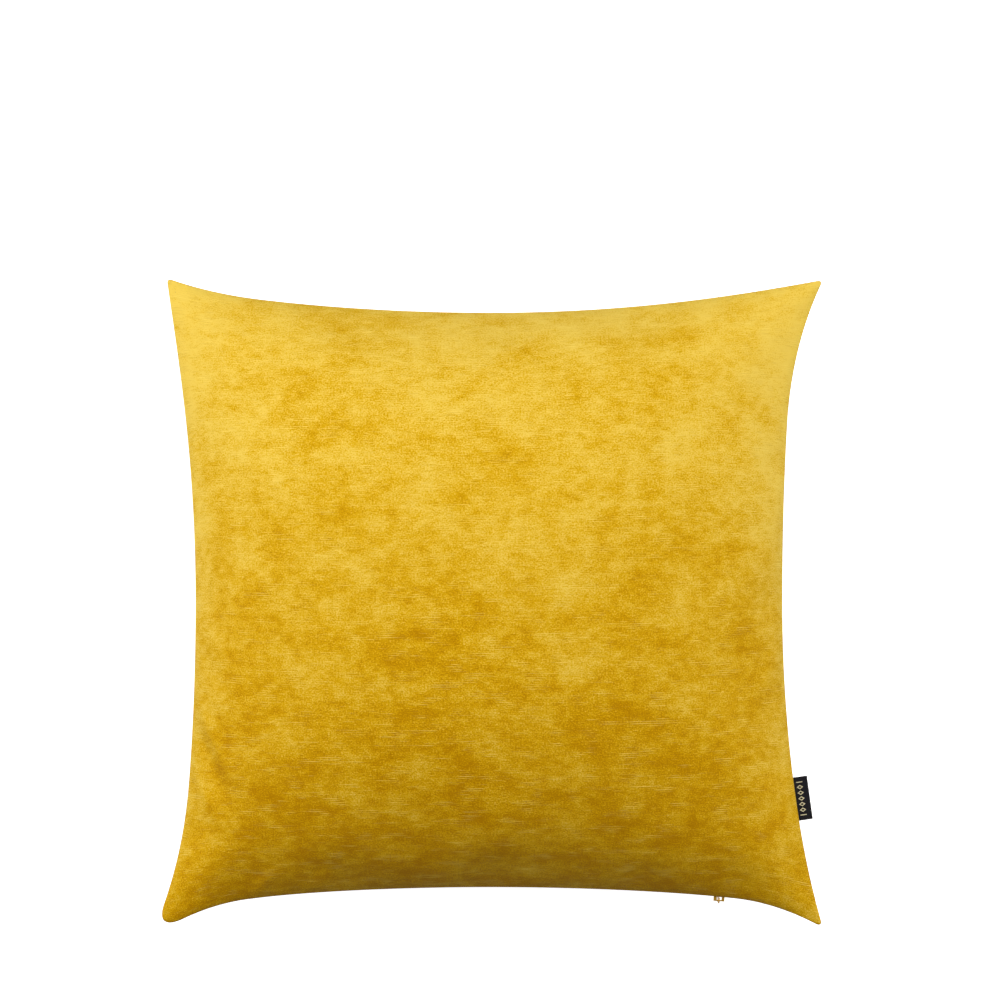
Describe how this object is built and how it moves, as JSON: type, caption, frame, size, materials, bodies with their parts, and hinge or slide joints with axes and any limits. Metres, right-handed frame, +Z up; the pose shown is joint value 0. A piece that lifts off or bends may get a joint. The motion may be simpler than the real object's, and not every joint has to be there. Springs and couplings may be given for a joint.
{
  "type": "throw pillow",
  "caption": "Square velvet throw pillow: zipped cover with knife-edge seams, a side label and a concealed zip, over a filled inner cushion, lying flat on its back panel.",
  "frame": {"origin": "on the surface that the pillow lies on, under the middle of the pillow", "axes": "+X along the zip seam towards the labelled side, +Y from the zip seam to the opposite seam, +Z up through the thickness, towards the front panel"},
  "size_m": [0.48, 0.471, 0.164],
  "materials": {
    "velvet": "crushed velvet with fine slub lines",
    "seam_thread": "polyester thread",
    "zip_tape": "woven polyester tape",
    "zip_coil": "nylon coil",
    "zip_metal": "lacquer over zinc",
    "label_ribbon": "damask woven ribbon",
    "care_satin": "satin ribbon",
    "insert_cotton": "plain cotton",
    "fibre_fill": "loose fibre"
  },
  "bodies": {
    "cover": {"cover_front": "velvet", "cover_back": "velvet", "seam_needle_thread": "seam_thread", "seam_bobbin_thread": "seam_thread", "seam_overlock": "seam_thread", "bottom_seam_thread_left": "seam_thread", "bottom_seam_thread_right": "seam_thread", "bartack_left": "seam_thread", "bartack_right": "seam_thread", "zip_tape_front": "zip_tape", "zip_tape_back": "zip_tape", "zip_coil_front": "zip_coil", "zip_coil_back": "zip_coil", "zip_stitch_front": "seam_thread", "zip_stitch_back": "seam_thread", "zip_top_stop_front": "zip_metal", "zip_top_stop_back": "zip_metal", "zip_bottom_stop": "zip_metal", "side_label_tails": "label_ribbon", "care_label": "care_satin", "insert_casing_front": "insert_cotton", "insert_casing_back": "insert_cotton", "insert_filling": "fibre_fill", "insert_closing_stitch": "seam_thread"},
    "zip_slider": {"zip_slider": "zip_metal"},
    "zip_pull": {"zip_pull": "zip_metal"},
    "side_label": {"side_label": "label_ribbon"}
  },
  "joints": [
    {"name": "zip_travel", "type": "hinge", "parent": "cover", "child": "zip_slider", "pos_m": [0, -2.31192, 0.074], "axis": [0, 0, 1], "range_deg": [0, 9.15]},
    {"name": "pull_swing", "type": "hinge", "parent": "zip_slider", "child": "zip_pull", "pos_m": [0.16746, -0.22049, 0.074], "axis": [-0.9968, 0.0798, 0], "range_deg": [-10, 175]},
    {"name": "label_flap", "type": "hinge", "parent": "cover", "child": "side_label", "pos_m": [0.22511, -0.14584, 0.074], "axis": [-0.1353, 0.9908, 0], "range_deg": [-80, 80], "stiffness_Nm_per_rad": 0.001}
  ]
}
